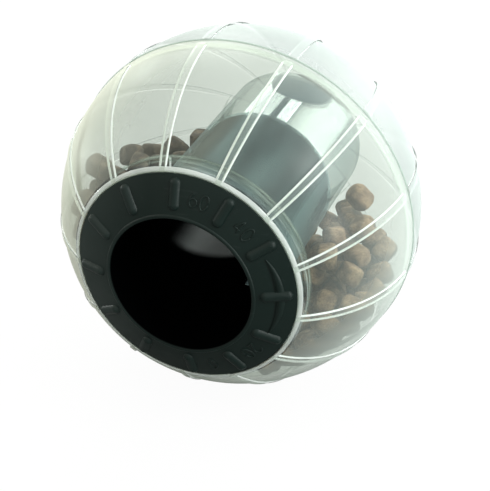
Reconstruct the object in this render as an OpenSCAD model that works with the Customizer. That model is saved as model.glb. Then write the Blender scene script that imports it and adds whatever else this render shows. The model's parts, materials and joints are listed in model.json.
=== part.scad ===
// Treat dispensing ball: two clear ribbed halves, a dark dial with a through tube,
// and a smoky sleeve round the tube. Treats lie in the chamber, pass the two windows
// into the tube and leave by the mouth. Turning the dial makes the opening smaller.
// The ball's axis is horizontal, along Y, with the dial facing -Y.

/* [Ball] */
// Diameter of the ball over its ribs
ball_d = 140; // [120:1:180]
// Wall thickness of the two clear halves
shell_wall = 2.4; // [1.8:0.1:3.2]
// Distance of the seam in front of the ball's centre
seam_off = 2.6; // [0:0.1:6]

/* [Ribs] */
// Number of raised bands on each half
rib_count = 13; // [7:1:18]
// Width of a band at the ball's widest place
rib_w = 3.4; // [2:0.1:5]
// Height of a band above the skin
rib_h = 0.6; // [0.3:0.1:1.2]

/* [Seam] */
// Length of the spigot that laps inside the front half
lap_len = 4; // [3:0.5:8]
// Clearance round the spigot
lap_gap = 0.1; // [0.05:0.01:0.3]

/* [Dial] */
// Diameter of the dial's flange
dial_d = 84; // [80:1:92]
// Diameter of the mouth, and of the tube's bore
mouth_d = 53.8; // [40:0.2:56]
// Height of the mouth's lip above the flange's edge
dial_rise = 5.9; // [3:0.1:8]
// Thickness of the flange
flange_t = 2; // [1.6:0.1:3]
// Wall thickness of the tube
tube_wall = 1.1; // [0.8:0.1:2]
// Distance of the tube's free rim behind the ball's centre
tube_back = 22.5; // [16:0.5:30]

/* [Grip bars] */
// Number of raised bars on the flange
bar_count = 12; // [6:1:16]
// Length of a bar
bar_len = 12; // [8:0.5:13]
// Width of a bar
bar_w = 4.4; // [3:0.1:6]
// Height of a bar above the flange
bar_h = 1.3; // [0.6:0.1:2]

/* [Collar] */
// Depth of the collar below the rim of the front half's opening
collar_deep = 10; // [8:0.5:14]
// Wall thickness of the collar
collar_wall = 1.8; // [1.2:0.1:2.6]
// Width of the ledge that carries the flange
ledge_w = 3.6; // [3:0.1:5]

/* [Sleeve] */
// Wall thickness of the sleeve round the tube
sleeve_wall = 1.4; // [1:0.1:2]
// Clearance between the tube and the sleeve
sleeve_gap = 0.3; // [0.2:0.05:0.6]
// Distance of the sleeve's front end before the ball's centre
sleeve_front = 33; // [26:0.5:38]

/* [Windows] */
// Length of the windows along the axis
window_len = 26; // [18:0.5:30]
// Width of the windows across the axis
window_w = 25; // [16:0.5:28]
// Corner radius of the windows
window_r = 5; // [2:0.5:7]
// Distance of the windows' middle before the ball's centre
window_mid = 4; // [0:0.5:6]
// Angle of the windows round the axis, from +X towards +Z
window_at = -50; // [-80:1:-40]
// Turn of the dial from open to closed
dial_turn = 60; // [58:1:66]

/* [Treats] */
// Size of one treat across its corners
treat_d = 11; // [10:0.2:14]
// Height of the heap of treats below the axis, at the middle
heap_low = 8; // [6:1:24]
// Slope of the heap across the ball, in degrees
heap_slope = 12; // [0:1:22]
// Slope at which the inner treats bank up against the tube towards the rear, in degrees
heap_bank = 25; // [0:1:34]

/* [Hidden] */
$fn = 96;

// Clearances and small sizes
cut = 1;
seat_gap = 0.2;
run_gap = 0.3;
fit_gap = 0.05;
melt = 0.4;

// Shell sizes
ball_r = ball_d / 2;
skin_r = ball_r - rib_h;
inner_r = skin_r - shell_wall;
rib_turn = rib_w / ball_r * 180 / PI;
rib_first = 17.4;
rear_plain_r = 20;
lap_r = inner_r + (shell_wall - lap_gap) / 2;
rib_end = seam_off + lap_len - melt;

// Collar and ledge sizes
collar_in = dial_d / 2 + run_gap;
collar_out = collar_in + collar_wall;
collar_rim = sqrt(skin_r * skin_r - collar_in * collar_in);
collar_foot = collar_rim - collar_deep;
ledge_top = collar_rim - flange_t - seat_gap;
ledge_t = 1.6;
ledge_in = collar_in - ledge_w;

// Dial sizes
rim_r = dial_d / 2;
rim_top = collar_rim;
rim_foot = rim_top - flange_t;
mouth_r = mouth_d / 2;
mouth_top = rim_top + dial_rise;
tube_r = mouth_r + tube_wall;
lip_r = 0.9;
dome_low = (mouth_r * mouth_r + mouth_top * mouth_top - rim_r * rim_r - rim_top * rim_top)
    / (2 * dial_rise);
dome_r = sqrt(rim_r * rim_r + pow(rim_top - dome_low, 2));
seat_w = 2.8;
root_w = 6;
root_top = dome_low + sqrt(pow(dome_r - flange_t, 2) - pow(tube_r + root_w, 2));

// Grip bar places
bar_first = 3.6;
bar_edge = 0.4;
bar_mid = rim_r - bar_edge - bar_len / 2;
bar_tilt = asin(bar_mid / dome_r);

// Snap hooks that hold the dial under the ledge, and the stops on the ledge
hook_count = 4;
hook_turn = 16;
hook_first = 20;
hook_t = 1.3;
hook_out = ledge_in - seat_gap;
barb = 1;
barb_t = 1.5;
stop_turn = 3.5;
stop_gap_turn = 0.5;
stop_in = hook_out - hook_t;

// Sleeve sizes
sleeve_in = tube_r + sleeve_gap;
sleeve_out = sleeve_in + sleeve_wall;
sleeve_end = -sqrt(inner_r * inner_r - sleeve_out * sleeve_out) + seat_gap;
socket_in = sleeve_out + fit_gap;
socket_wall = 1.5;
socket_out = socket_in + socket_wall;
socket_h = 5;

// Treat sizes and their grid
treat_r = treat_d / 2;
treat_flat_share = 0.9;
treat_gap = 0.15;
treat_pitch = treat_d + treat_gap;
treat_layers = 3;
row_reach = 75;
heap_reach = 96;

// Turns the ball's own axis, Z here, so that the dial faces -Y
module on_axis() {
    rotate([90, 0, 0]) children();
}

// A ring sector of the profile that follows, from one angle over a turn
module sector(from, turn) {
    rotate([0, 0, from]) rotate_extrude(angle = turn) children();
}

// Profile of a spherical skin between two radii, in the half plane of the axis
module skin_profile(r_out, r_in) {
    intersection() {
        difference() {
            circle(r_out);
            circle(r_in);
        }
        translate([0, -r_out]) square([r_out, 2 * r_out]);
    }
}

// A plain box of the profile plane, by its two corners
module box_profile(r1, h1, r2, h2) {
    translate([r1, h1]) square([r2 - r1, h2 - h1]);
}

// A rectangle with round corners, about its middle
module round_rect(w, l, r) {
    square([w - 2 * r, l], center = true);
    square([w, l - 2 * r], center = true);
    for (x = [-1, 1], y = [-1, 1])
        translate([x * (w / 2 - r), y * (l / 2 - r)]) circle(r);
}

// The core that opens a window in one side of a tube
module window_core() {
    rotate([0, 0, window_at]) translate([0, 0, window_mid]) rotate([90, 0, 90])
        translate([0, 0, mouth_r / 3])
            linear_extrude(height = sleeve_out) round_rect(window_w, window_len, window_r);
}

// Raised bands of one half, between two heights on the axis
module ribs(h1, h2, r_min) {
    for (i = [0 : rib_count - 1])
        sector(rib_first - rib_turn / 2 + i * 360 / rib_count, rib_turn)
            intersection() {
                skin_profile(ball_r, skin_r - melt);
                box_profile(r_min, h1, ball_r, h2);
            }
}

module front_shell() {
    color([0.80, 0.90, 0.86, 0.45]) on_axis() {
        rotate_extrude() difference() {
            union() {
                intersection() {
                    skin_profile(skin_r, inner_r);
                    box_profile(collar_in, seam_off, ball_r, ball_r);
                }
                intersection() {
                    circle(skin_r - melt);
                    box_profile(collar_in, collar_foot, collar_out, ball_r);
                }
                box_profile(ledge_in, ledge_top - ledge_t, collar_in + melt, ledge_top);
            }
            box_profile(inner_r / 2, seam_off - cut, lap_r + lap_gap, seam_off + lap_len + seat_gap);
        }
        ribs(rib_end, ball_r, collar_in + melt);
        for (a = [-stop_gap_turn - stop_turn, dial_turn + hook_turn + stop_gap_turn])
            sector(hook_first + a, stop_turn)
                box_profile(stop_in, ledge_top - ledge_t + seat_gap, ledge_in + melt,
                    ledge_top - seat_gap);
    }
}

module rear_shell() {
    color([0.80, 0.90, 0.86, 0.45]) on_axis() {
        rotate_extrude() {
            intersection() {
                skin_profile(skin_r, inner_r);
                box_profile(0, -ball_r, ball_r, seam_off);
            }
            difference() {
                box_profile(inner_r - shell_wall, seam_off - melt, lap_r, seam_off + lap_len);
                circle(inner_r);
            }
            intersection() {
                circle(inner_r + melt);
                box_profile(socket_in, -ball_r, socket_out, sleeve_end + socket_h);
            }
        }
        ribs(-ball_r, seam_off, rear_plain_r);
    }
}

module window_sleeve() {
    color([0.62, 0.70, 0.69, 0.7]) on_axis() difference() {
        rotate_extrude() box_profile(sleeve_in, sleeve_end, sleeve_out, sleeve_front);
        window_core();
    }
}

// Flange, lip and tube of the dial in one profile
module dial_profile() {
    intersection() {
        translate([0, dome_low]) difference() {
            circle(dome_r, $fn = 180);
            circle(dome_r - flange_t, $fn = 180);
        }
        box_profile(tube_r - melt, rim_foot, rim_r, mouth_top);
    }
    intersection() {
        translate([0, dome_low]) circle(dome_r - flange_t / 2, $fn = 180);
        box_profile(rim_r - seat_w, rim_foot, rim_r, mouth_top);
    }
    polygon([[tube_r - melt, root_top - root_w], [tube_r + root_w, root_top],
        [tube_r + root_w, root_top + melt], [tube_r - melt, root_top + melt]]);
    box_profile(mouth_r, -tube_back, tube_r, mouth_top - lip_r);
    translate([mouth_r + lip_r, mouth_top - lip_r]) circle(lip_r);
}

// One raised bar with round ends, lying along the flange
module grip_bar() {
    translate([0, 0, dome_low]) difference() {
        rotate([0, bar_tilt, 0]) translate([0, 0, dome_r - bar_w / 2 + bar_h]) {
            rotate([0, 90, 0]) cylinder(h = bar_len - bar_w, d = bar_w, center = true, $fn = 40);
            for (s = [-1, 1])
                translate([s * (bar_len - bar_w) / 2, 0, 0]) sphere(d = bar_w, $fn = 40);
        }
        sphere(dome_r - flange_t / 2, $fn = 180);
    }
}

module dial() {
    color([0.14, 0.18, 0.17]) on_axis() {
        difference() {
            rotate_extrude() dial_profile();
            window_core();
        }
        for (i = [0 : bar_count - 1])
            rotate([0, 0, bar_first + i * 360 / bar_count]) grip_bar();
        for (i = [0 : hook_count - 1])
            sector(hook_first + i * 360 / hook_count, hook_turn) {
                box_profile(hook_out - hook_t, ledge_top - ledge_t - seat_gap - barb_t, hook_out, rim_top);
                box_profile(hook_out - hook_t, ledge_top - ledge_t - seat_gap - barb_t,
                    hook_out + barb, ledge_top - ledge_t - seat_gap);
            }
    }
}

// One treat: a cube with its corners and edges worn round
module treat(seed) {
    spin = rands(0, 360, 3, seed);
    rotate(spin) intersection() {
        cube(treat_d * treat_flat_share, center = true);
        sphere(treat_r, $fn = 24);
    }
}

// Turn round a circle from one treat to the next
function treat_turn(r) = 2 * asin(treat_pitch / 2 / r);

// Even steps of a turn to both sides of nought, as far as a reach
function steps(turn, reach) = [for (i = [-floor(reach / turn) : floor(reach / turn)]) i * turn];

// Height of the heap's surface over a place, for one layer of treats
function heap_top(x, h, layer) = -heap_low - x * tan(heap_slope) - layer * h * tan(heap_bank);

// Places of the treats: rows on spheres inside the shell, below the heap's surface
treat_places = [
    for (k = [0 : treat_layers - 1])
        let (rho = inner_r - run_gap - treat_r - k * treat_pitch)
            for (row = steps(treat_turn(rho), row_reach))
                let (c = rho * cos(row), h = rho * sin(row))
                    if (c > sleeve_out + run_gap + treat_r && h < collar_foot - treat_r - run_gap)
                        for (turn = steps(treat_turn(c), heap_reach))
                            let (x = c * sin(turn), z = -c * cos(turn))
                                if (z < heap_top(x, h, k)) [x, -h, z]
];

module treats(front) {
    color([0.45, 0.34, 0.22])
        for (i = [0 : len(treat_places) - 1])
            if ((treat_places[i][1] < -seam_off) == front)
                translate(treat_places[i]) treat(i);
}

module treats_front() {
    treats(true);
}

module treats_rear() {
    treats(false);
}

front_shell();
rear_shell();
window_sleeve();
dial();
treats_front();
treats_rear();
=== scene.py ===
"""Treat dispensing ball: the finishes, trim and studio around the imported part.

Lengths are in metres. The ball's axis is Y with the dial facing -Y, and h is a distance
from the ball's centre towards the dial, so that y = -h.
"""
import json
import math
import random

import bmesh
import bpy
from mathutils import Euler, Matrix, Vector, noise


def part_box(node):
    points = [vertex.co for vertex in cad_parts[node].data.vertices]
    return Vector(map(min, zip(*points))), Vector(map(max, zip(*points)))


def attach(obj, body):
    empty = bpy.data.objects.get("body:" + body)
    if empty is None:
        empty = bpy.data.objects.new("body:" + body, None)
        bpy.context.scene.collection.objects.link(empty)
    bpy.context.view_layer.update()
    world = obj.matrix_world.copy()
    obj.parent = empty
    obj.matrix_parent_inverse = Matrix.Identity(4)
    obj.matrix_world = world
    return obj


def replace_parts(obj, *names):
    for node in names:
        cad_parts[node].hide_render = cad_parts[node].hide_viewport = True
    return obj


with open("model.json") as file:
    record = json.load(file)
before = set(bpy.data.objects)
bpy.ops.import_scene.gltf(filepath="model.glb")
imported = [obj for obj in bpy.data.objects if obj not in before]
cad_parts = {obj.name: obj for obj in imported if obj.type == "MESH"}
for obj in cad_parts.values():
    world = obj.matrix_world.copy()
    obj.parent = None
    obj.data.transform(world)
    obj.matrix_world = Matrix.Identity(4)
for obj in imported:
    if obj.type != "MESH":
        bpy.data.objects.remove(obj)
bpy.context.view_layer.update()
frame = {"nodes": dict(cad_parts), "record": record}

MM = 0.001
DEG = math.pi / 180

# How far a mask runs past the end of the piece that it covers
OVERRUN = 1 * MM

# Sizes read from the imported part
nodes = frame["nodes"]
mounts = {mount["name"]: mount for mount in frame["record"]["mounts"]}
skin_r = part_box("rear_shell")[1].y
seam_h = -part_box("front_shell")[1].y
rim_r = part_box("dial")[1].x
mouth_h = -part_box("dial")[0].y
tube_end_h = -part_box("dial")[1].y
sleeve_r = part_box("window_sleeve")[1].x
sleeve_end_h = -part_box("window_sleeve")[1].y
mouth_r = mounts["mouth"]["dims"]["r_mm"] * MM

# Walls of the two halves and their ribs
SHELL_WALL = 2.4 * MM
RIB_COUNT = 13
RIB_FIRST = 17.4 * DEG
RIB_WIDTH = 3.4 * MM
RIB_HEIGHT = 0.6 * MM
RIB_MARGIN = 4 * MM
RIB_RIM_GAP = 0.7 * MM
RIB_SEAM_GAP = 0.3 * MM
FRONT_BEAD_R = 0.42 * MM
REAR_BEAD_R = 0.26 * MM
REAR_BRIGHT_H = -14 * MM
ball_r = skin_r + RIB_HEIGHT
rib_turn = RIB_WIDTH / ball_r
rib_top_h = math.sqrt(skin_r ** 2 - (rim_r + RIB_RIM_GAP) ** 2)

# Seam of the halves, the front half's opening and collar, and the tube's free rim
SEAM_BEAD_R = 0.4 * MM
LAP_LENGTH = 4 * MM
LAP_BEAD_R = 0.4 * MM
OPENING_GAP = 0.3 * MM
OPENING_BEAD_R = 0.38 * MM
OPENING_SPREAD = 2.3
COLLAR_WALL = 1.8 * MM
COLLAR_DEPTH = 10 * MM
COLLAR_BEAD_R = 0.3 * MM
TUBE_WALL = 1.1 * MM
TUBE_BEAD_R = 0.3 * MM
TUBE_BEAD_OUT = 0.1 * MM
seam_r = math.sqrt(skin_r ** 2 - seam_h ** 2)
lap_h = seam_h + LAP_LENGTH
lap_middle_r = skin_r - SHELL_WALL / 2
lap_r = math.sqrt(lap_middle_r ** 2 - lap_h ** 2)
collar_bore_r = rim_r + OPENING_GAP
collar_r = collar_bore_r + COLLAR_WALL
collar_foot_h = math.sqrt(skin_r ** 2 - collar_bore_r ** 2) - COLLAR_DEPTH
opening_r = collar_bore_r + COLLAR_WALL / 2
opening_h = math.sqrt(skin_r ** 2 - opening_r ** 2)
tube_rim_r = mouth_r + TUBE_WALL / 2 + TUBE_BEAD_OUT

# The dial's domed flange, its plain numbers and the crescent that joins them
DIAL_RISE = 5.9 * MM
BAR_COUNT = 12
BAR_FIRST = 3.6 * DEG
NUMBER_R = 35.2 * MM
NUMBER_HEIGHT = 5.0 * MM
NUMBER_WIDTH_SHARE = 0.56
NUMBER_PITCH_SHARE = 0.8
FOUR_STEM_SHARE = 0.4
FOUR_BAR_SHARE = -0.18
STROKE_R = 0.34 * MM
CRESCENT_R = 35.4 * MM
CRESCENT_WIDTH = 2.8 * MM
CRESCENT_RISE = 0.3 * MM
CRESCENT_SUNK = 0.3 * MM
CRESCENT_TIP_SHARE = 0.04
CRESCENT_FULLNESS = 0.8
CRESCENT_FROM = 28 * DEG
CRESCENT_TO = -23 * DEG
rim_h = mouth_h - DIAL_RISE
dome_low = (mouth_r ** 2 + mouth_h ** 2 - rim_r ** 2 - rim_h ** 2) / (2 * DIAL_RISE)
dome_r = math.hypot(rim_r, rim_h - dome_low)
bar_turn = 2 * math.pi / BAR_COUNT

# Treats: the rule that places them in the part, and the dented cushion that each is shaped as
TREAT_D = 11 * MM
TREAT_GAP = 0.15 * MM
TREAT_LAYERS = 3
ROW_REACH = 75 * DEG
HEAP_REACH = 96 * DEG
HEAP_LOW = 8 * MM
HEAP_SLOPE = 12 * DEG
HEAP_BANK = 25 * DEG
RUN_GAP = 0.3 * MM
TREAT_CUTS = 7
TREAT_FACE = 4.25 * MM
TREAT_BULGE = 0.25 * MM
ACROSS_SHARES = (0.90, 0.98)
LONG_SHARES = (1.10, 1.22)
SQUARENESS = (4.0, 5.5)
NOISE_SPAN = 9
DENT_SHARE = 0.06
DENT_PITCH = 1.8
WRINKLE_SHARE = 0.03
WRINKLE_PITCH = 5
treat_reach = TREAT_D / 2 + TREAT_BULGE

# Camera at the photograph's viewing angle
IMAGE_HEIGHT_PX = 491
FOCAL_PX = 1366
SENSOR_MM = 36
VIEW_AZIMUTH = 21.0 * DEG
VIEW_ELEVATION = 32.3 * DEG
VIEW_DISTANCE = 0.531
VIEW_SIDEWAYS = 1.42 * MM
VIEW_DROP = 16.02 * MM

# The painted dark reflection near the sleeve's end: an oval with a neck towards the dial's tube
SPOT_X = 6 * MM
SPOT_Y = 53.7 * MM
SPOT_HALF_WIDTH = 12.2 * MM
SPOT_HALF_LENGTH = 15.1 * MM
SPOT_EDGE_SHARES = (0.96, 1.03)
SPOT_CUT_Y = SPOT_Y + 4 * MM
SPOT_ABOVE_Z = 4 * MM
NECK_LEFT_X = (-7 * MM, -3 * MM)
NECK_RIGHT_X = (9.5 * MM, 11.5 * MM)
NECK_END_Y = SPOT_Y - 6 * MM

# Studio: the light from all round, the floor, and the lamps with their places, widths, lengths and watts
SKY_WAY = (0.30, 0.15, 0.94)
SKY_LOW = 0.12
SKY_HIGH = 1.2
SKY_SPREAD = 0.8
WALL_WAY = (-0.10, 0.85, 0.52)
WALL_EDGE = (0.88, 0.96)
WALL_SHADE = 0.8
GLOW_WAY = (0.453, 0.856, 0.252)
GLOW_EDGE = (0.87, 0.99)
GLOW_LEVEL = 6.0
WARM_TO_MINT = (-0.7, 0.5)
WARM_LIGHT = (1.0, 0.98, 0.88, 1)
MINT_LIGHT = (0.93, 1.0, 0.975, 1)
WHITE = (1, 1, 1, 1)
FLOOR_HALF = 3.0
FLOOR_GAP = 0.05 * MM
FLOOR_SHADE = 0.22
FLOOR_LIFT = 1.13
FLOOR_LIT_SHARE = 0.85
LAMP_COLOUR = (0.95, 1.0, 0.975)
LAMPS = (
    ("left_window", (-0.420, 1.080, 0.510), 0.510, 0.130, 2.5),
    ("right_window", (0.020, 1.088, 0.690), 0.215, 0.130, 1.6),
    ("right_wall", (1.000, -0.125, 0.750), 0.40, 0.40, 6.5),
    ("left_wall", (-1.000, -0.200, 0.350), 0.50, 0.50, 1.4),
    ("low_wall", (0.850, -0.200, 0.080), 0.30, 0.20, 2.6),
    ("high_window", (-0.500, 0.855, 0.763), 0.60, 0.30, 4.0),
    ("far_left_window", (-0.935, 0.739, 0.378), 0.10, 0.26, 1.3),
    ("near_left_window", (-0.586, 0.129, -0.015), 0.05, 0.10, 0.35),
)


def put(tree, kind, inputs=None, **settings):
    """Adds a node to a tree. An input is a plain value, or another node's output."""
    node = tree.nodes.new(kind)
    for name, value in settings.items():
        setattr(node, name, value)
    for key, value in (inputs or {}).items():
        if isinstance(value, bpy.types.NodeSocket):
            tree.links.new(value, node.inputs[key])
        else:
            node.inputs[key].default_value = value
    return node


def math_node(tree, operation, *values, clamp=False):
    """The output of a math node over the values."""
    node = put(tree, "ShaderNodeMath", dict(enumerate(values)), operation=operation, use_clamp=clamp)
    return node.outputs[0]


def product(tree, first, *others):
    """Several values multiplied."""
    for other in others:
        first = math_node(tree, "MULTIPLY", first, other)
    return first


def add_share(tree, base, share, amount, clamp=False):
    """A value with a share of an amount on top."""
    return math_node(tree, "MULTIPLY_ADD", share, amount, base, clamp=clamp)


def vector_node(tree, operation, *values):
    """A vector math node over the values."""
    return put(tree, "ShaderNodeVectorMath", dict(enumerate(values)), operation=operation)


def axes_of(tree, place):
    """The x, y and z of a place."""
    return put(tree, "ShaderNodeSeparateXYZ", {0: place}).outputs[:]


def ramp(tree, value, low, high, out_low, out_high, kind="LINEAR"):
    """A value spread from one range to another, and held at its ends."""
    node = put(tree, "ShaderNodeMapRange", {
        "Value": value, "From Min": low, "From Max": high, "To Min": out_low, "To Max": out_high},
        interpolation_type=kind)
    return node.outputs["Result"]


def rise(tree, value, span, kind="LINEAR"):
    """Nought before a span of the value, and one past it."""
    return ramp(tree, value, span[0], span[1], 0.0, 1.0, kind)


def fall(tree, value, span, kind="LINEAR"):
    """One before a span of the value, and nought past it."""
    return ramp(tree, value, span[0], span[1], 1.0, 0.0, kind)


def blend_colours(tree, share, first, second):
    """A colour between two others."""
    node = put(tree, "ShaderNodeMix", data_type="RGBA")
    for socket, value in ((node.inputs[0], share), (node.inputs[6], first), (node.inputs[7], second)):
        if isinstance(value, bpy.types.NodeSocket):
            tree.links.new(value, socket)
        else:
            socket.default_value = value
    return node.outputs[2]


def blend_values(tree, share, first, second):
    """A value between two others."""
    node = put(tree, "ShaderNodeMix", {0: share, 2: first, 3: second}, data_type="FLOAT")
    return node.outputs[0]


def new_group(name, inputs, output):
    """A shader node group with float inputs and one float output, to be filled in."""
    tree = bpy.data.node_groups.new(name, "ShaderNodeTree")
    tree.interface.new_socket("Place", in_out="INPUT", socket_type="NodeSocketVector")
    for socket_name, value in inputs.items():
        socket = tree.interface.new_socket(socket_name, in_out="INPUT", socket_type="NodeSocketFloat")
        socket.default_value = value
    tree.interface.new_socket(output, in_out="OUTPUT", socket_type="NodeSocketFloat")
    return tree, tree.nodes.new("NodeGroupInput"), tree.nodes.new("NodeGroupOutput")


def soft_patches_group():
    """Slow, cloudy variation over a surface, from Low to High."""
    COMMON = (0.3, 0.7)
    tree, inside, outside = new_group("soft_patches", {"Scale": 20, "Low": 0, "High": 1}, "Value")
    cloud = put(tree, "ShaderNodeTexNoise", {
        "Vector": inside.outputs["Place"], "Scale": inside.outputs["Scale"],
        "Detail": 3.0, "Roughness": 0.5})
    spread = ramp(tree, cloud.outputs[0], *COMMON, inside.outputs["Low"], inside.outputs["High"])
    tree.links.new(spread, outside.inputs["Value"])
    return tree


def fine_grain_group():
    """Height of a fine, even grain."""
    tree, inside, outside = new_group("fine_grain", {"Scale": 900}, "Height")
    grain = put(tree, "ShaderNodeTexNoise", {
        "Vector": inside.outputs["Place"], "Scale": inside.outputs["Scale"],
        "Detail": 4.0, "Roughness": 0.62})
    tree.links.new(grain.outputs[0], outside.inputs["Height"])
    return tree


def handling_marks_group():
    """Thin, short scuffs from handling, from 0 to 1. A larger Share brings more of them."""
    RAREST = 0.78
    SHARE_WEIGHT = -0.3
    FULL = 0.82
    tree, inside, outside = new_group("handling_marks", {"Scale": 60, "Share": 0.3}, "Mask")
    streak = put(tree, "ShaderNodeMapping", {
        "Vector": inside.outputs["Place"], "Rotation": (0.5, 0.9, 0.3), "Scale": (1.0, 12.0, 14.0)})
    lines = put(tree, "ShaderNodeTexNoise", {
        "Vector": streak.outputs[0], "Scale": inside.outputs["Scale"], "Detail": 5.0, "Distortion": 0.7})
    edge = add_share(tree, RAREST, inside.outputs["Share"], SHARE_WEIGHT)
    tree.links.new(rise(tree, lines.outputs[0], (edge, FULL)), outside.inputs["Mask"])
    return tree


def axis_band_group():
    """One over a stretch of the ball's axis, measured towards the rear, with soft ends."""
    tree, inside, outside = new_group("axis_band", {"From": 0, "To": 1, "Soft": 0.001}, "Mask")
    _, along, _ = axes_of(tree, inside.outputs["Place"])
    soft = inside.outputs["Soft"]
    past_start = math_node(tree, "SUBTRACT", along, inside.outputs["From"])
    before_end = math_node(tree, "SUBTRACT", inside.outputs["To"], along)
    starts = math_node(tree, "DIVIDE", past_start, soft, clamp=True)
    ends = math_node(tree, "DIVIDE", before_end, soft, clamp=True)
    tree.links.new(product(tree, starts, ends), outside.inputs["Mask"])
    return tree


def axis_distance_group():
    """Distance from the ball's axis."""
    tree, inside, outside = new_group("axis_distance", {}, "Distance")
    flat = vector_node(tree, "MULTIPLY", inside.outputs["Place"], (1, 0, 1))
    length = vector_node(tree, "LENGTH", flat.outputs[0])
    tree.links.new(length.outputs["Value"], outside.inputs["Distance"])
    return tree


SOFT_PATCHES = soft_patches_group()
FINE_GRAIN = fine_grain_group()
HANDLING_MARKS = handling_marks_group()
AXIS_BAND = axis_band_group()
AXIS_DISTANCE = axis_distance_group()


def use_group(tree, group, place, **values):
    """A group placed in a material with its own values; returns its output."""
    node = put(tree, "ShaderNodeGroup", node_tree=group)
    tree.links.new(place, node.inputs["Place"])
    for name, value in values.items():
        node.inputs[name].default_value = value
    return node.outputs[0]


def away_from_view(tree):
    """Nought where a surface faces the viewer, and one where it turns away."""
    return put(tree, "ShaderNodeLayerWeight", {"Blend": 0.5}).outputs["Facing"]


def broad_face(tree, place):
    """One on faces that look to or from the ball's centre, and nought on the sides of ribs and steps."""
    SIDE_TO_FACE = (0.2, 0.45)
    normal = put(tree, "ShaderNodeNewGeometry").outputs["True Normal"]
    turned = put(tree, "ShaderNodeVectorTransform", {0: normal}, vector_type="NORMAL",
                 convert_from="WORLD", convert_to="OBJECT")
    outward = vector_node(tree, "NORMALIZE", place)
    square = vector_node(tree, "DOT_PRODUCT", outward.outputs[0], turned.outputs[0])
    return rise(tree, math_node(tree, "ABSOLUTE", square.outputs["Value"]), SIDE_TO_FACE)


def new_material(name):
    """An empty material, its tree, its output and the place on the object."""
    material = bpy.data.materials.new(name)
    material.use_nodes = True
    tree = material.node_tree
    tree.nodes.clear()
    output = tree.nodes.new("ShaderNodeOutputMaterial")
    place = tree.nodes.new("ShaderNodeTexCoord").outputs["Object"]
    return material, tree, output, place


def see_through(tree, output, tint, veil, milk_colour, facing, gloss_roughness, gloss_share, edge_gloss):
    """Joins a see-through body, the milk in it and the gloss on it into one surface."""
    GRAZING_POWER = 5.0
    through = put(tree, "ShaderNodeBsdfTransparent", {"Color": tint})
    milky = put(tree, "ShaderNodeBsdfPrincipled", {
        "Base Color": milk_colour, "Roughness": 0.5, "Specular IOR Level": 0.2})
    body = put(tree, "ShaderNodeMixShader", {0: veil, 1: through.outputs[0], 2: milky.outputs[0]})
    gloss = put(tree, "ShaderNodeBsdfAnisotropic", {"Color": WHITE, "Roughness": gloss_roughness})
    mirror = add_share(tree, gloss_share, math_node(tree, "POWER", facing, GRAZING_POWER), edge_gloss)
    surface = put(tree, "ShaderNodeMixShader", {0: mirror, 1: body.outputs[0], 2: gloss.outputs[0]})
    tree.links.new(surface.outputs[0], output.inputs["Surface"])


def collar_mask(tree, place):
    """One on the front half's collar."""
    END_SOFT = 0.5 * MM
    WALL_TO_AIR = (collar_r + 0.2 * MM, collar_r + 0.6 * MM)
    along = use_group(tree, AXIS_BAND, place, From=END_SOFT - collar_foot_h - COLLAR_DEPTH,
                      To=END_SOFT - collar_foot_h, Soft=END_SOFT)
    inwards = fall(tree, use_group(tree, AXIS_DISTANCE, place), WALL_TO_AIR)
    return product(tree, along, inwards)


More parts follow.
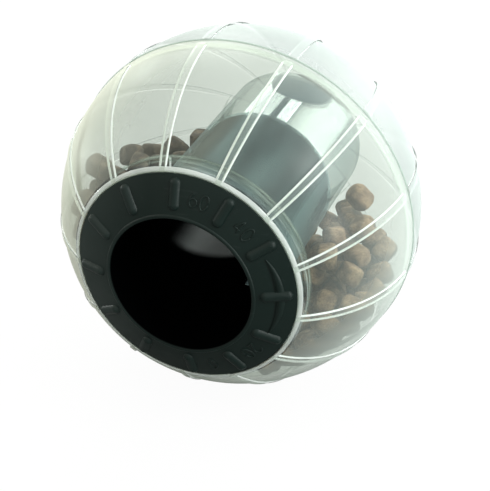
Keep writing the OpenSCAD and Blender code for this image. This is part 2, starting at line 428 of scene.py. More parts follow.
def clear_shell_plastic():
    """Clear polished plastic, milkier at edges, on ribs and behind the seam, and streaked in the collar.

    The milk in it is creamy on the left and mint on the right, which is painted warm and cool light, and
    darker at the bottom, which is painted shade.
    """
    OUTER_SKIN = (skin_r - 1.6 * MM, skin_r - 0.8 * MM)
    RIB_TOP = (skin_r + 0.2 * MM, skin_r + 0.5 * MM)
    WARM_TO_COOL_LIT_X = (-45 * MM, 35 * MM)
    HAZE_X = (-60 * MM, -25 * MM)
    SHADED_BOTTOM_Z = (-66 * MM, -30 * MM)
    EDGE_POWER = 1.95
    EDGE_VEIL = 0.9
    MARK_VEIL = 0.015
    REAR_VEIL = 0.015
    RIB_VEIL = 0.07
    HAZE_VEIL = 0.16
    COLLAR_EDGE_SHARE = 0.2
    COLLAR_STREAK_VEIL = 0.30
    REAR_SIDE_SHARE = 0.25
    BOTTOM_SHADE_SHARE = 0.6
    WARM_LIT_CREAM = (0.87, 0.89, 0.77, 1)
    COOL_LIT_MINT = (0.82, 0.88, 0.83, 1)
    SHADED_BOTTOM_MILK = (0.40, 0.44, 0.36, 1)
    COLLAR_MILK = (0.80, 0.86, 0.87, 1)
    REAR_MILK = (0.60, 0.65, 0.635, 1)
    FRONT_TINT = (0.870, 0.898, 0.864, 1)
    REAR_TINT = (0.935, 0.948, 0.941, 1)
    COLLAR_TINT = (0.82, 0.86, 0.84, 1)

    material, tree, output, place = new_material("clear_shell")
    x, _, z = axes_of(tree, place)
    facing = away_from_view(tree)
    reach = vector_node(tree, "LENGTH", place).outputs["Value"]
    outer = rise(tree, reach, OUTER_SKIN)
    in_collar = collar_mask(tree, place)
    behind_seam = use_group(tree, AXIS_BAND, place, From=-seam_h, To=ball_r, Soft=0.3 * MM)
    broad = math_node(tree, "MAXIMUM", broad_face(tree, place), product(tree, behind_seam, REAR_SIDE_SHARE))

    cloud = use_group(tree, SOFT_PATCHES, place, Scale=22.0, Low=0.012, High=0.034)
    marks = use_group(tree, HANDLING_MARKS, place, Scale=70.0, Share=0.2)
    lengthwise = put(tree, "ShaderNodeMapping", {"Vector": place, "Scale": (0.5, 5.0, 0.5)})
    streaks = use_group(tree, SOFT_PATCHES, lengthwise.outputs[0], Scale=90.0, Low=-0.6, High=1.0)
    edge = product(tree, math_node(tree, "POWER", facing, EDGE_POWER), outer, EDGE_VEIL)
    veil = product(tree, math_node(tree, "ADD", cloud, edge),
                   blend_values(tree, in_collar, 1.0, COLLAR_EDGE_SHARE))
    veil = add_share(tree, veil, in_collar, ramp(tree, streaks, 0.0, 1.0, 0.0, COLLAR_STREAK_VEIL))
    veil = add_share(tree, veil, marks, ramp(tree, facing, 0.0, 1.0, MARK_VEIL, 0.0))
    veil = add_share(tree, veil, behind_seam, REAR_VEIL)
    veil = add_share(tree, veil, rise(tree, reach, RIB_TOP), RIB_VEIL, clamp=True)
    veil = add_share(tree, veil, fall(tree, x, HAZE_X), product(tree, outer, HAZE_VEIL))
    veil = math_node(tree, "MULTIPLY", veil, broad, clamp=True)

    # Painted light: the milk is warm cream on the left and cool mint on the right, for warm and cool light
    # from the two sides.
    milk_colour = blend_colours(tree, rise(tree, x, WARM_TO_COOL_LIT_X), WARM_LIT_CREAM, COOL_LIT_MINT)
    # Painted shade: the milk turns darker towards the bottom.
    milk_colour = blend_colours(
        tree, product(tree, fall(tree, z, SHADED_BOTTOM_Z), BOTTOM_SHADE_SHARE), milk_colour, SHADED_BOTTOM_MILK)
    milk_colour = blend_colours(tree, in_collar, milk_colour, COLLAR_MILK)
    milk_colour = blend_colours(tree, behind_seam, milk_colour, REAR_MILK)
    wall_tint = blend_colours(tree, behind_seam, FRONT_TINT, REAR_TINT)
    wall_tint = blend_colours(tree, in_collar, wall_tint, COLLAR_TINT)
    tint = blend_colours(tree, broad, WHITE, wall_tint)

    shine = use_group(tree, SOFT_PATCHES, place, Scale=40.0, Low=0.26, High=0.36)
    see_through(tree, output, tint, veil, milk_colour, product(tree, facing, broad, outer), shine,
                gloss_share=product(tree, broad, 0.012), edge_gloss=0.1)
    return material


def sleeve_dark_reflection(tree, place):
    """Masks of the oval near the sleeve's end, and of the whole painted dark reflection, which has a neck
    too.
    """
    x, _, z = axes_of(tree, place)
    squeezed = put(tree, "ShaderNodeMapping", {
        "Vector": place, "Scale": (1 / SPOT_HALF_WIDTH, 1 / SPOT_HALF_LENGTH, 0)})
    middle = (SPOT_X / SPOT_HALF_WIDTH, SPOT_Y / SPOT_HALF_LENGTH, 0)
    away = vector_node(tree, "DISTANCE", squeezed.outputs[0], middle)
    oval = fall(tree, away.outputs["Value"], SPOT_EDGE_SHARES)
    neck = product(tree, rise(tree, x, NECK_LEFT_X), fall(tree, x, NECK_RIGHT_X),
                   use_group(tree, AXIS_BAND, place, From=0.0, To=NECK_END_Y, Soft=1 * MM))
    kept = product(tree, use_group(tree, AXIS_BAND, place, From=0.0, To=SPOT_CUT_Y, Soft=0.5 * MM),
                   rise(tree, z, (0.0, SPOT_ABOVE_Z)))
    return oval, product(tree, math_node(tree, "MAXIMUM", oval, neck), kept)


def smoky_sleeve_plastic():
    """Smoky plastic: streaky satin over the dial's tube, and polished behind it.

    Over the tube it has an amber band on the left and more smoke on the right. Behind the tube it has one
    dark spot, which is a painted dark reflection.
    """
    POLISH_LEAD = 2.3 * MM
    STREAK_SHIFT = 12 * MM
    THICK_X = (4 * MM, 17 * MM)
    AMBER_FROM_X = (-22 * MM, -15 * MM)
    AMBER_TO_X = (-11 * MM, -4 * MM)
    STREAK_VEIL = (0.12, 0.34)
    EDGE_POWER = 2.5
    EDGE_VEIL = 0.16
    THICK_VEIL = 0.08
    POLISHED_SHARE = 0.55
    DARK_REFLECTION_VEIL = 0.62
    MARK_VEIL = 0.02
    AMBER_SHARE = 0.8
    DEEP_SMOKE = (0.06, 0.10, 0.13, 1)
    PALE_SMOKE = (0.18, 0.26, 0.29, 1)
    AMBER = (0.20, 0.185, 0.16, 1)
    DARK_REFLECTION_COLOUR = (0.050, 0.085, 0.110, 1)
    TUBE_TINT = (0.62, 0.73, 0.73, 1)
    POLISHED_TINT = (0.915, 0.955, 0.94, 1)
    POLISHED_ROUGHNESS = 0.07
    SATIN_GLOSS = 0.006
    POLISHED_GLOSS = 0.075

    material, tree, output, place = new_material("smoky_sleeve")
    x, _, _ = axes_of(tree, place)
    facing = away_from_view(tree)
    past_tube = use_group(tree, AXIS_BAND, place, From=-tube_end_h - POLISH_LEAD,
                          To=-sleeve_end_h + OVERRUN, Soft=0.4 * MM)
    over_tube = math_node(tree, "SUBTRACT", 1.0, past_tube)
    # The dark spot is a painted reflection: a darker, milkier patch, with no polished gloss on its oval.
    oval, spot = sleeve_dark_reflection(tree, place)
    spot = product(tree, spot, past_tube)

    along = put(tree, "ShaderNodeMapping", {
        "Vector": place, "Location": (STREAK_SHIFT, 0, 0), "Scale": (1.0, 0.15, 1.0)})
    streaks = use_group(tree, SOFT_PATCHES, along.outputs[0], Scale=80.0, Low=-0.3, High=1.25)
    marks = use_group(tree, HANDLING_MARKS, place, Scale=70.0, Share=0.25)
    veil = ramp(tree, streaks, 0.0, 1.0, *STREAK_VEIL)
    veil = add_share(tree, veil, math_node(tree, "POWER", facing, EDGE_POWER), EDGE_VEIL)
    veil = add_share(tree, veil, rise(tree, x, THICK_X), product(tree, over_tube, THICK_VEIL))
    veil = product(tree, veil, blend_values(tree, past_tube, 1.0, POLISHED_SHARE))
    veil = add_share(tree, veil, spot, DARK_REFLECTION_VEIL)
    veil = add_share(tree, veil, marks, MARK_VEIL, clamp=True)

    amber = product(tree, rise(tree, x, AMBER_FROM_X, "SMOOTHSTEP"), AMBER_SHARE,
                    fall(tree, x, AMBER_TO_X, "SMOOTHSTEP"))
    smoke = blend_colours(tree, streaks, DEEP_SMOKE, PALE_SMOKE)
    smoke = blend_colours(tree, amber, smoke, AMBER)
    milk_colour = blend_colours(tree, spot, smoke, DARK_REFLECTION_COLOUR)
    tint = blend_colours(tree, past_tube, TUBE_TINT, POLISHED_TINT)

    satin = use_group(tree, SOFT_PATCHES, place, Scale=45.0, Low=0.40, High=0.58)
    gleam = product(tree, past_tube, math_node(tree, "SUBTRACT", 1.0, oval))
    see_through(tree, output, tint, veil, milk_colour, facing,
                gloss_roughness=blend_values(tree, gleam, satin, POLISHED_ROUGHNESS),
                gloss_share=blend_values(tree, gleam, SATIN_GLOSS, POLISHED_GLOSS), edge_gloss=0.15)
    return material


def edge_plastic(name, veil_low, veil_high, clearness, gloss_share, edge_gloss):
    """Milky white plastic on a moulded edge, whose white stands for the light that the edge gathers: a
    painted highlight.
    """
    DULL_MILK = (0.88, 0.92, 0.89, 1)
    BRIGHT_MILK = (0.97, 0.98, 0.97, 1)
    GREEN_SHARE = 0.6
    BLUE_SHARE = 0.3
    material, tree, output, place = new_material(name)
    veil = use_group(tree, SOFT_PATCHES, place, Scale=60.0, Low=veil_low, High=veil_high)
    patches = use_group(tree, SOFT_PATCHES, place, Scale=90.0, Low=0.0, High=1.0)
    # Painted highlight: the beads' milky white stands in for light caught on the moulded edges.
    milk_colour = blend_colours(tree, patches, DULL_MILK, BRIGHT_MILK)
    shine = use_group(tree, SOFT_PATCHES, place, Scale=40.0, Low=0.08, High=0.2)
    loss = 1 - clearness
    tint = (clearness, clearness + GREEN_SHARE * loss, clearness + BLUE_SHARE * loss, 1)
    see_through(tree, output, tint, veil, milk_colour, away_from_view(tree), shine, gloss_share, edge_gloss)
    return material


def seam_plastic():
    """The dark hairline of the seam, where the two halves meet."""
    SEAM_TINT = (0.90, 0.94, 0.91, 1)
    SEAM_MILK = (0.52, 0.61, 0.56, 1)
    material, tree, output, place = new_material("seam_line")
    veil = use_group(tree, SOFT_PATCHES, place, Scale=60.0, Low=0.30, High=0.50)
    shine = use_group(tree, SOFT_PATCHES, place, Scale=40.0, Low=0.3, High=0.4)
    see_through(tree, output, SEAM_TINT, veil, SEAM_MILK, away_from_view(tree), shine,
                gloss_share=0.02, edge_gloss=0.2)
    return material


def dial_plastic():
    """Dark satin plastic with a painted sheen on the left of the flange, and dull with painted black shade
    on the tube and in the bore.

    One lighter, glossier patch in the bore is a painted glint.
    """
    SHEEN_X = (-40 * MM, -12 * MM)
    BORE_EDGE = (mouth_r + 0.1 * MM, mouth_r + 0.6 * MM)
    FLANGE_DEPTH = 4 * MM
    GLINT_SLANT = -0.9
    GLINT_FROM = (4.5 * MM, 10 * MM)
    GLINT_X = (-25 * MM, -18 * MM)
    SCUFF_SHARE = 0.25
    DEEP_GREEN = (0.0022, 0.0090, 0.0072, 1)
    DARK_GREEN = (0.0050, 0.0130, 0.0108, 1)
    SHEEN_GREEN = (0.018, 0.028, 0.025, 1)
    SCUFF_GREY = (0.05, 0.06, 0.058, 1)
    SHADED_DULL_DEEP = (0.0003, 0.0004, 0.0005, 1)
    SHADED_DULL_PALE = (0.0006, 0.0007, 0.0008, 1)
    GLINT_DEEP = (0.004, 0.0045, 0.0045, 1)
    GLINT_PALE = (0.008, 0.009, 0.009, 1)

    material, tree, output, place = new_material("dark_dial")
    x, y, _ = axes_of(tree, place)
    patches = use_group(tree, SOFT_PATCHES, place, Scale=35.0, Low=0.0, High=1.0)
    marks = use_group(tree, HANDLING_MARKS, place, Scale=60.0, Share=0.5)
    satin = use_group(tree, SOFT_PATCHES, place, Scale=90.0, Low=0.38, High=0.50)
    grain = use_group(tree, FINE_GRAIN, place, Scale=1400.0)
    bump = put(tree, "ShaderNodeBump", {"Strength": 0.12, "Distance": 0.12 * MM, "Height": grain})

    colour = blend_colours(tree, patches, DEEP_GREEN, DARK_GREEN)
    # Painted sheen: the flange's colour is lighter towards the left.
    colour = blend_colours(tree, fall(tree, x, SHEEN_X), colour, SHEEN_GREEN)
    colour = blend_colours(tree, product(tree, marks, SCUFF_SHARE), colour, SCUFF_GREY)
    flange = put(tree, "ShaderNodeBsdfPrincipled", {
        "Base Color": colour, "Roughness": satin, "Specular IOR Level": 0.24, "Normal": bump.outputs[0]})
    # The dull shader for the tube and the bore: no gloss, and a near black that is painted shade.
    dull = put(tree, "ShaderNodeBsdfPrincipled", {
        "Base Color": blend_colours(tree, patches, SHADED_DULL_DEEP, SHADED_DULL_PALE),
        "Roughness": satin, "Specular IOR Level": 0.0})
    polished = put(tree, "ShaderNodeBsdfPrincipled", {
        "Base Color": blend_colours(tree, patches, GLINT_DEEP, GLINT_PALE),
        "Roughness": ramp(tree, patches, 0.0, 1.0, 0.34, 0.42), "Specular IOR Level": 0.12})

    # Painted glint: a lighter, glossier patch where the bore shows a reflection. Its gloss catches the
    # lamps, and its lighter colour is painted.
    slant = add_share(tree, y, x, GLINT_SLANT)
    glint_patch = product(tree, rise(tree, slant, GLINT_FROM, "SMOOTHSTEP"),
                     rise(tree, x, GLINT_X, "SMOOTHSTEP"))
    in_bore = fall(tree, use_group(tree, AXIS_DISTANCE, place), BORE_EDGE)
    on_tube = use_group(tree, AXIS_BAND, place, From=-rim_h + FLANGE_DEPTH, To=-tube_end_h + OVERRUN,
                        Soft=1 * MM)
    inner = put(tree, "ShaderNodeMixShader", {0: glint_patch, 1: dull.outputs[0], 2: polished.outputs[0]})
    outer = put(tree, "ShaderNodeMixShader", {0: on_tube, 1: flange.outputs[0], 2: dull.outputs[0]})
    surface = put(tree, "ShaderNodeMixShader", {0: in_bore, 1: outer.outputs[0], 2: inner.outputs[0]})
    tree.links.new(surface.outputs[0], output.inputs["Surface"])
    return material


def rim_plastic():
    """The tube's rounded free rim, glossy and lighter than the rest of the dial: its lighter grey is a
    painted highlight.
    """
    RIM_HIGHLIGHT_GREY = (0.35, 0.38, 0.37, 1)
    RIM_HIGHLIGHT_WHITE = (0.62, 0.66, 0.65, 1)
    material, tree, output, place = new_material("rim_painted_highlight")
    patches = use_group(tree, SOFT_PATCHES, place, Scale=120.0, Low=0.0, High=1.0)
    # Painted highlight: light grey to near white where the rim's edge catches the light.
    surface = put(tree, "ShaderNodeBsdfPrincipled", {
        "Base Color": blend_colours(tree, patches, RIM_HIGHLIGHT_GREY, RIM_HIGHLIGHT_WHITE),
        "Roughness": ramp(tree, patches, 0.0, 1.0, 0.2, 0.35)})
    tree.links.new(surface.outputs[0], output.inputs["Surface"])
    return material


def baked_crust():
    """The treats' baked crust: brown, mottled, rough and dry, with painted shade on the left and in its
    nooks.
    """
    SHADE_LEFT_X = (-40 * MM, 5 * MM)
    SHADE_LEFT_SHARE = 0.85
    DOUGH_DARK = (0.070, 0.034, 0.023, 1)
    DOUGH_PALE = (0.285, 0.150, 0.085, 1)
    DOUGH_SHADED_LEFT = (0.040, 0.028, 0.028, 1)
    TOASTED = (0.555, 0.350, 0.215, 1)
    TOASTED_SHADED_LEFT = (0.26, 0.185, 0.15, 1)
    SPECK = (0.060, 0.032, 0.013, 1)
    SPECK_GRAIN = (0.35, 0.55)
    SPECK_SHARE = 0.55
    NOOK_SHADE_COLOUR = (0.022, 0.014, 0.010, 1)
    NOOK_REACH = 5 * MM
    NOOK_LIGHT = (0.30, 0.95)
    NOOK_SHADE_SHARE = 0.95
    PIT_EDGE = 0.35

    material, tree, output, place = new_material("kibble")
    x, _, _ = axes_of(tree, place)
    each = use_group(tree, SOFT_PATCHES, place, Scale=75.0, Low=0.0, High=1.0)
    mottle = use_group(tree, SOFT_PATCHES, place, Scale=240.0, Low=-0.3, High=0.9)
    grain = use_group(tree, FINE_GRAIN, place, Scale=1500.0)
    pits = put(tree, "ShaderNodeTexVoronoi", {"Vector": place, "Scale": 700.0})
    pit_depth = rise(tree, pits.outputs["Distance"], (0.0, PIT_EDGE))
    nook = put(tree, "ShaderNodeAmbientOcclusion", {"Distance": NOOK_REACH}, samples=4)

    # Painted shade: the treats are darker towards the left.
    shade_on_left = product(tree, fall(tree, x, SHADE_LEFT_X), SHADE_LEFT_SHARE)
    dough = blend_colours(tree, shade_on_left, blend_colours(tree, each, DOUGH_DARK, DOUGH_PALE), DOUGH_SHADED_LEFT)
    colour = blend_colours(tree, mottle, dough, blend_colours(tree, shade_on_left, TOASTED, TOASTED_SHADED_LEFT))
    colour = blend_colours(tree, product(tree, fall(tree, grain, SPECK_GRAIN), SPECK_SHARE), colour, SPECK)
    # Painted shade in the nooks, from ambient occlusion.
    painted_nook_shade = product(tree, fall(tree, nook.outputs["AO"], NOOK_LIGHT), NOOK_SHADE_SHARE)
    colour = blend_colours(tree, painted_nook_shade, colour, NOOK_SHADE_COLOUR)
    height = add_share(tree, grain, pit_depth, 0.5)
    bump = put(tree, "ShaderNodeBump", {"Strength": 0.7, "Distance": 0.4 * MM, "Height": height})
    surface = put(tree, "ShaderNodeBsdfPrincipled", {
        "Base Color": colour, "Roughness": ramp(tree, mottle, 0.0, 1.0, 0.7, 0.9),
        "Normal": bump.outputs[0]})
    tree.links.new(surface.outputs[0], output.inputs["Surface"])
    return material


def mesh_piece(name, mesh_builder, material, body):
    """A piece made by a function that fills a bmesh, which rides on a body."""
    shape = bmesh.new()
    mesh_builder(shape)
    bmesh.ops.recalc_face_normals(shape, faces=shape.faces)
    mesh = bpy.data.meshes.new(name)
    shape.to_mesh(mesh)
    shape.free()
    for face in mesh.polygons:
        face.use_smooth = True
    mesh.materials.append(material)
    piece = bpy.data.objects.new(name, mesh)
    bpy.context.scene.collection.objects.link(piece)
    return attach(piece, body)


def around_axis(radius, angle, h):
    """A point at a radius and an angle round the ball's axis, from +X towards +Z."""
    return Vector((radius * math.cos(angle), -h, radius * math.sin(angle)))


def join_rings(shape, rings, closed):
    """Faces between rings of points that follow each other."""
    sides = len(rings[0])
    pairs = list(zip(rings, rings[1:]))
    if closed:
        pairs.append((rings[-1], rings[0]))
    for first, second in pairs:
        for step in range(sides):
            after = (step + 1) % sides
            shape.faces.new((first[step], first[after], second[after], second[step]))
    if not closed:
        shape.faces.new(rings[0][::-1])
        shape.faces.new(rings[-1])


def bead_along(shape, points, radius, sides=8):
    """A round bead along the points, drawn in at its two ends."""
    END_SHARE = 0.35
    rings = []
    for index, point in enumerate(points):
        ahead = points[min(index + 1, len(points) - 1)] - points[max(index - 1, 0)]
        side = ahead.cross(point.normalized()).normalized()
        out = side.cross(ahead).normalized()
        size = radius * (END_SHARE if index in (0, len(points) - 1) else 1.0)
        turns = [2 * math.pi * step / sides for step in range(sides)]
        rings.append([shape.verts.new(point + (out * math.sin(turn) + side * math.cos(turn)) * size)
                      for turn in turns])
    join_rings(shape, rings, closed=False)


def bead_ring(ring_r, h, bead_r, spread=1.0, sides=12, steps=180):
    """A bead in a full circle about the ball's axis, which can be spread along the ball's surface."""
    def build(shape):
        lean = math.atan2(h, ring_r)
        rings = []
        for index in range(steps):
            angle = 2 * math.pi * index / steps
            ring = []
            for step in range(sides):
                turn = 2 * math.pi * step / sides
                out, along = bead_r * math.cos(turn), bead_r * spread * math.sin(turn)
                ring.append(shape.verts.new(around_axis(
                    ring_r + out * math.cos(lean) - along * math.sin(lean), angle,
                    h + out * math.sin(lean) + along * math.cos(lean))))
            rings.append(ring)
        join_rings(shape, rings, closed=True)

    return build


def rib_edge_beads(h_from, h_to, bead_r):
    """The rounded feet of the ribs' two sides, from one h to another."""
    STEPS = 40
    heights = [h_from + (h_to - h_from) * step / STEPS for step in range(STEPS + 1)]

    def build(shape):
        for rib in range(RIB_COUNT):
            for side in (-0.5, 0.5):
                angle = RIB_FIRST + rib * 2 * math.pi / RIB_COUNT + side * rib_turn
                points = [around_axis(math.sqrt(skin_r ** 2 - h ** 2), angle, h) for h in heights]
                bead_along(shape, points, bead_r)

    return build


def on_flange(radius, angle, lift):
    """A point over the dial's domed flange."""
    return around_axis(radius, angle, dome_low + math.sqrt((dome_r + lift) ** 2 - radius ** 2))


def arc(centre, width, height, start, end, steps=14):
    """Points of an elliptical arc in the plane of a numeral, from one angle in degrees to another."""
    points = []
    for step in range(steps + 1):
        turn = (start + (end - start) * step / steps) * DEG
        points.append((centre[0] + width * math.cos(turn), centre[1] + height * math.sin(turn)))
    return points


def line(start, end, steps=6):
    """Points of a straight stroke of a numeral."""
    return [(start[0] + (end[0] - start[0]) * step / steps, start[1] + (end[1] - start[1]) * step / steps)
            for step in range(steps + 1)]


def numeral_strokes(numeral):
    """Strokes of one plain numeral, as shares of its height, about its middle."""
    half = NUMBER_WIDTH_SHARE / 2
    if numeral == "0":
        return [arc((0, 0), half, 0.5, 0, 360, 28)]
    if numeral == "2":
        bowl = arc((0, 0.5 - half), half, half, 165, -35)
        return [bowl + line(bowl[-1], (-half, -0.5))[1:] + line((-half, -0.5), (half, -0.5))[1:]]
    if numeral == "4":
        stem_x = half * FOUR_STEM_SHARE
        slope = line((stem_x, 0.5), (-half, FOUR_BAR_SHARE))
        bar = line((-half, FOUR_BAR_SHARE), (half, FOUR_BAR_SHARE))
        return [slope + bar[1:], line((stem_x, 0.5), (stem_x, -0.5))]
    if numeral == "6":
        stem = arc((half, -0.5 + half), 2 * half, 1 - half, 120, 180)
        return [stem + arc((0, -0.5 + half), half, half, 180, 540, 24)[1:]]
    raise ValueError(numeral)


def dial_numbers(shape):
    """Plain raised numbers between the grip bars, from 0 to 60 degrees of turn."""
    for number, gap in (("0", -3), ("20", -2), ("40", 1), ("60", 2)):
        middle = BAR_FIRST + (gap + 0.5) * bar_turn
        for place, numeral in enumerate(number):
            shift = (place - (len(number) - 1) / 2) * NUMBER_PITCH_SHARE * NUMBER_HEIGHT
            for stroke in numeral_strokes(numeral):
                points = []
                for across, up in stroke:
                    radius = NUMBER_R + up * NUMBER_HEIGHT
                    turn = (shift + across * NUMBER_HEIGHT) / NUMBER_R
                    points.append(on_flange(radius, middle - turn, 0))
                bead_along(shape, points, STROKE_R)


def turn_crescent(shape):
    """A raised crescent on the flange, which shows the way from narrow to wide."""
    STEPS = 48
    rings = []
    for step in range(STEPS + 1):
        share = step / STEPS
        angle = CRESCENT_FROM + (CRESCENT_TO - CRESCENT_FROM) * share
        swell = math.sin(math.pi * share) ** CRESCENT_FULLNESS
        width = CRESCENT_WIDTH * (CRESCENT_TIP_SHARE + (1 - CRESCENT_TIP_SHARE) * swell)
        outer_r = CRESCENT_R + width
        rings.append([shape.verts.new(on_flange(radius, angle, lift)) for radius, lift in (
            (CRESCENT_R, -CRESCENT_SUNK), (CRESCENT_R, CRESCENT_RISE),
            (outer_r, CRESCENT_RISE), (outer_r, -CRESCENT_SUNK))])
    join_rings(shape, rings, closed=False)


def even_steps(ring_r, reach):
    """Turns to both sides of nought, from one treat to the next on a circle, as far as a reach."""
    turn = 2 * math.asin((TREAT_D + TREAT_GAP) / 2 / ring_r)
    most = math.floor(reach / turn)
    return [index * turn for index in range(-most, most + 1)]


def treat_places():
    """Centres of the treats: rows on spheres inside the shell, below the heap's surface."""
    places = []
    for layer in range(TREAT_LAYERS):
        rho = skin_r - SHELL_WALL - RUN_GAP - TREAT_D / 2 - layer * (TREAT_D + TREAT_GAP)
        for row in even_steps(rho, ROW_REACH):
            ring_r, h = rho * math.cos(row), rho * math.sin(row)
            if ring_r <= sleeve_r + RUN_GAP + TREAT_D / 2 or h >= collar_foot_h - TREAT_D / 2 - RUN_GAP:
                continue
            for turn in even_steps(ring_r, HEAP_REACH):
                place = around_axis(ring_r, turn - 90 * DEG, h)
                surface = -HEAP_LOW - place.x * math.tan(HEAP_SLOPE) - layer * h * math.tan(HEAP_BANK)
                if place.z < surface:
                    places.append(place)
    return places


def cushion_grid():
    """Points and faces of a cube with an even grid on each side."""
    grid = bmesh.new()
    bmesh.ops.create_cube(grid, size=2)
    bmesh.ops.subdivide_edges(grid, edges=grid.edges[:], cuts=TREAT_CUTS, use_grid_fill=True)
    points = [vert.co.copy() for vert in grid.verts]
    faces = [[vert.index for vert in face.verts] for face in grid.faces]
    grid.free()
    return points, faces


def treat_shape(shape, grid, centre, seed):
    """One treat: a puffed cushion of dough with soft corners and a dented, uneven crust."""
    random.seed(seed)
    spin = Euler([random.uniform(0, 2 * math.pi) for _ in range(3)]).to_matrix()
    stretch = [random.uniform(*shares) for shares in (ACROSS_SHARES, ACROSS_SHARES, LONG_SHARES)]
    drift = Vector([random.uniform(-NOISE_SPAN, NOISE_SPAN) for _ in range(3)])
    power = random.uniform(*SQUARENESS)
    points, faces = grid
    verts = []
    for point in points:
        way = point.normalized()
        size = sum(abs(axis) ** power for axis in way) ** (-1 / power)
        dent = DENT_SHARE * noise.noise(way * DENT_PITCH + drift)
        wrinkle = WRINKLE_SHARE * noise.noise(way * WRINKLE_PITCH + drift)
        local = Vector([axis * scale for axis, scale in zip(way, stretch)]) * size * (1 + dent + wrinkle)
        reach = min(local.length * TREAT_FACE, treat_reach)
        verts.append(shape.verts.new(centre + spin @ (local.normalized() * reach)))
    for face in faces:
        shape.faces.new([verts[index] for index in face])


def treats_piece(name, node, body, front, material):
    """All the treats of one half, in one piece that stands for the node."""
    def build(shape):
        grid = cushion_grid()
        for seed, place in enumerate(treat_places()):
            if (-place.y > seam_h) == front:
                treat_shape(shape, grid, place, seed)

    piece = mesh_piece(name, build, material, body)
    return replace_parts(piece, node)


def dress(node, material):
    """Gives a node of the part its finish."""
    part = nodes[node]
    part.data.materials.clear()
    part.data.materials.append(material)


def window_lamp(name, place, width, length, watts):
    """A soft lamp shaped like a window, which faces the ball and lies across its axis."""
    lamp = bpy.data.lights.new(name, "AREA")
    lamp.shape = "RECTANGLE"
    lamp.size = width
    lamp.size_y = length
    lamp.energy = watts
    lamp.color = LAMP_COLOUR
    holder = bpy.data.objects.new(name, lamp)
    bpy.context.scene.collection.objects.link(holder)
    back = Vector(place).normalized()
    across = Vector((0, 1, 0)).cross(back).normalized()
    turn = Matrix((across, back.cross(across), back)).transposed().to_4x4()
    holder.matrix_world = Matrix.Translation(place) @ turn


def studio_world():
    """White behind the object, a brighter sky above, a dark wall round the windows and a glow beside it.

    The light is warmer on the left and minty on the right.
    """
    world = bpy.data.worlds.new("studio")
    bpy.context.scene.world = world
    world.use_nodes = True
    tree = world.node_tree
    tree.nodes.clear()
    output = tree.nodes.new("ShaderNodeOutputWorld")
    place = tree.nodes.new("ShaderNodeTexCoord").outputs["Generated"]
    x, _, _ = axes_of(tree, place)
    upwards = vector_node(tree, "DOT_PRODUCT", place, SKY_WAY).outputs["Value"]
    to_wall = vector_node(tree, "DOT_PRODUCT", place, WALL_WAY).outputs["Value"]
    to_glow = vector_node(tree, "DOT_PRODUCT", place, GLOW_WAY).outputs["Value"]
    sky_level = ramp(tree, upwards, -SKY_SPREAD, SKY_SPREAD, SKY_LOW, SKY_HIGH)
    open_sky = ramp(tree, to_wall, *WALL_EDGE, 1.0, 1 - WALL_SHADE, "SMOOTHSTEP")
    glow = ramp(tree, to_glow, *GLOW_EDGE, 0.0, GLOW_LEVEL, "SMOOTHSTEP")
    strength = add_share(tree, glow, sky_level, open_sky)
    hue = blend_colours(tree, rise(tree, x, WARM_TO_MINT), WARM_LIGHT, MINT_LIGHT)
    sky = put(tree, "ShaderNodeBackground", {"Color": hue, "Strength": strength})
    white = put(tree, "ShaderNodeBackground", {"Color": WHITE, "Strength": 1.0})
    seen = put(tree, "ShaderNodeLightPath").outputs["Is Camera Ray"]
    mix = put(tree, "ShaderNodeMixShader", {0: seen, 1: sky.outputs[0], 2: white.outputs[0]})
    tree.links.new(mix.outputs[0], output.inputs["Surface"])


def studio_floor():
    """A pale floor that keeps the object's soft shadow."""
    mesh = bpy.data.meshes.new("floor")
    z = -ball_r - FLOOR_GAP
    corners = [(x * FLOOR_HALF, y * FLOOR_HALF, z) for x, y in ((-1, -1), (1, -1), (1, 1), (-1, 1))]
    mesh.from_pydata(corners, [], [(0, 1, 2, 3)])
    material, tree, output, _ = new_material("floor")
    matt = put(tree, "ShaderNodeBsdfDiffuse", {"Color": (FLOOR_SHADE, FLOOR_SHADE, FLOOR_SHADE, 1)})
    lit = put(tree, "ShaderNodeEmission", {"Color": WHITE, "Strength": FLOOR_LIFT})
    seen = put(tree, "ShaderNodeLightPath").outputs["Is Camera Ray"]
    share = product(tree, seen, FLOOR_LIT_SHARE)
    mix = put(tree, "ShaderNodeMixShader", {0: share, 1: matt.outputs[0], 2: lit.outputs[0]})
    tree.links.new(mix.outputs[0], output.inputs["Surface"])
    mesh.materials.append(material)
    floor = bpy.data.objects.new("floor", mesh)
    bpy.context.scene.collection.objects.link(floor)


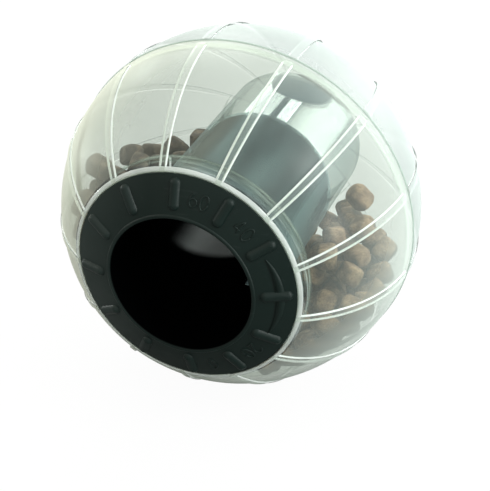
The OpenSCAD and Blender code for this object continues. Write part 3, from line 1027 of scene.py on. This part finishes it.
def photo_camera():
    """The camera that took the photograph, fitted to the ball's circles in it."""
    right = Vector((math.cos(VIEW_AZIMUTH), math.sin(VIEW_AZIMUTH), 0))
    back = Vector((math.sin(VIEW_AZIMUTH) * math.cos(VIEW_ELEVATION),
                   -math.cos(VIEW_AZIMUTH) * math.cos(VIEW_ELEVATION), math.sin(VIEW_ELEVATION)))
    up = back.cross(right)
    lens = bpy.data.cameras.new("camera")
    lens.sensor_width = SENSOR_MM
    lens.lens = FOCAL_PX * SENSOR_MM / IMAGE_HEIGHT_PX
    lens.clip_start = 0.01
    camera = bpy.data.objects.new("camera", lens)
    bpy.context.scene.collection.objects.link(camera)
    turn = Matrix((right, up, back)).transposed().to_4x4()
    place = right * VIEW_SIDEWAYS - up * VIEW_DROP + back * VIEW_DISTANCE
    camera.matrix_world = Matrix.Translation(place) @ turn
    bpy.context.scene.camera = camera


photo_camera()
studio_world()
studio_floor()
for name, place, width, length, watts in LAMPS:
    window_lamp(name, place, width, length, watts)

shell = clear_shell_plastic()
painted_bright_edge = edge_plastic(
    "painted_bright_edge", veil_low=0.55, veil_high=0.80, clearness=0.96, gloss_share=0.03, edge_gloss=0.2)
painted_soft_edge = edge_plastic(
    "painted_soft_edge", veil_low=0.18, veil_high=0.32, clearness=0.975, gloss_share=0.02, edge_gloss=0.4)
painted_pale_rim = edge_plastic(
    "painted_pale_rim", veil_low=0.36, veil_high=0.52, clearness=0.96, gloss_share=0.04, edge_gloss=0.9)
dial = dial_plastic()
crust = baked_crust()

dress("front_shell", shell)
dress("rear_shell", shell)
dress("window_sleeve", smoky_sleeve_plastic())
dress("dial", dial)

mesh_piece("front_rib_edges", rib_edge_beads(seam_h + RIB_MARGIN, rib_top_h, FRONT_BEAD_R),
           painted_bright_edge, "front_half")
mesh_piece("rear_rib_ends", rib_edge_beads(REAR_BRIGHT_H, seam_h - RIB_SEAM_GAP, REAR_BEAD_R),
           painted_soft_edge, "rear_half")
mesh_piece("seam_edge", bead_ring(seam_r, seam_h, SEAM_BEAD_R),
           seam_plastic(), "front_half")
mesh_piece("lap_edge", bead_ring(lap_r, lap_h, LAP_BEAD_R),
           painted_soft_edge, "rear_half")
mesh_piece("opening_rim", bead_ring(opening_r, opening_h, OPENING_BEAD_R, OPENING_SPREAD),
           painted_pale_rim, "front_half")
mesh_piece("collar_foot", bead_ring(opening_r, collar_foot_h, COLLAR_BEAD_R),
           painted_soft_edge, "front_half")
mesh_piece("tube_rim", bead_ring(tube_rim_r, tube_end_h, TUBE_BEAD_R),
           rim_plastic(), "dial")
mesh_piece("dial_numbers", dial_numbers, dial, "dial")
mesh_piece("turn_crescent", turn_crescent, dial, "dial")
treats_piece("front_treats", "treats_front", "front_half", front=True, material=crust)
treats_piece("rear_treats", "treats_rear", "rear_half", front=False, material=crust)

bpy.context.scene.view_settings.view_transform = "Standard"
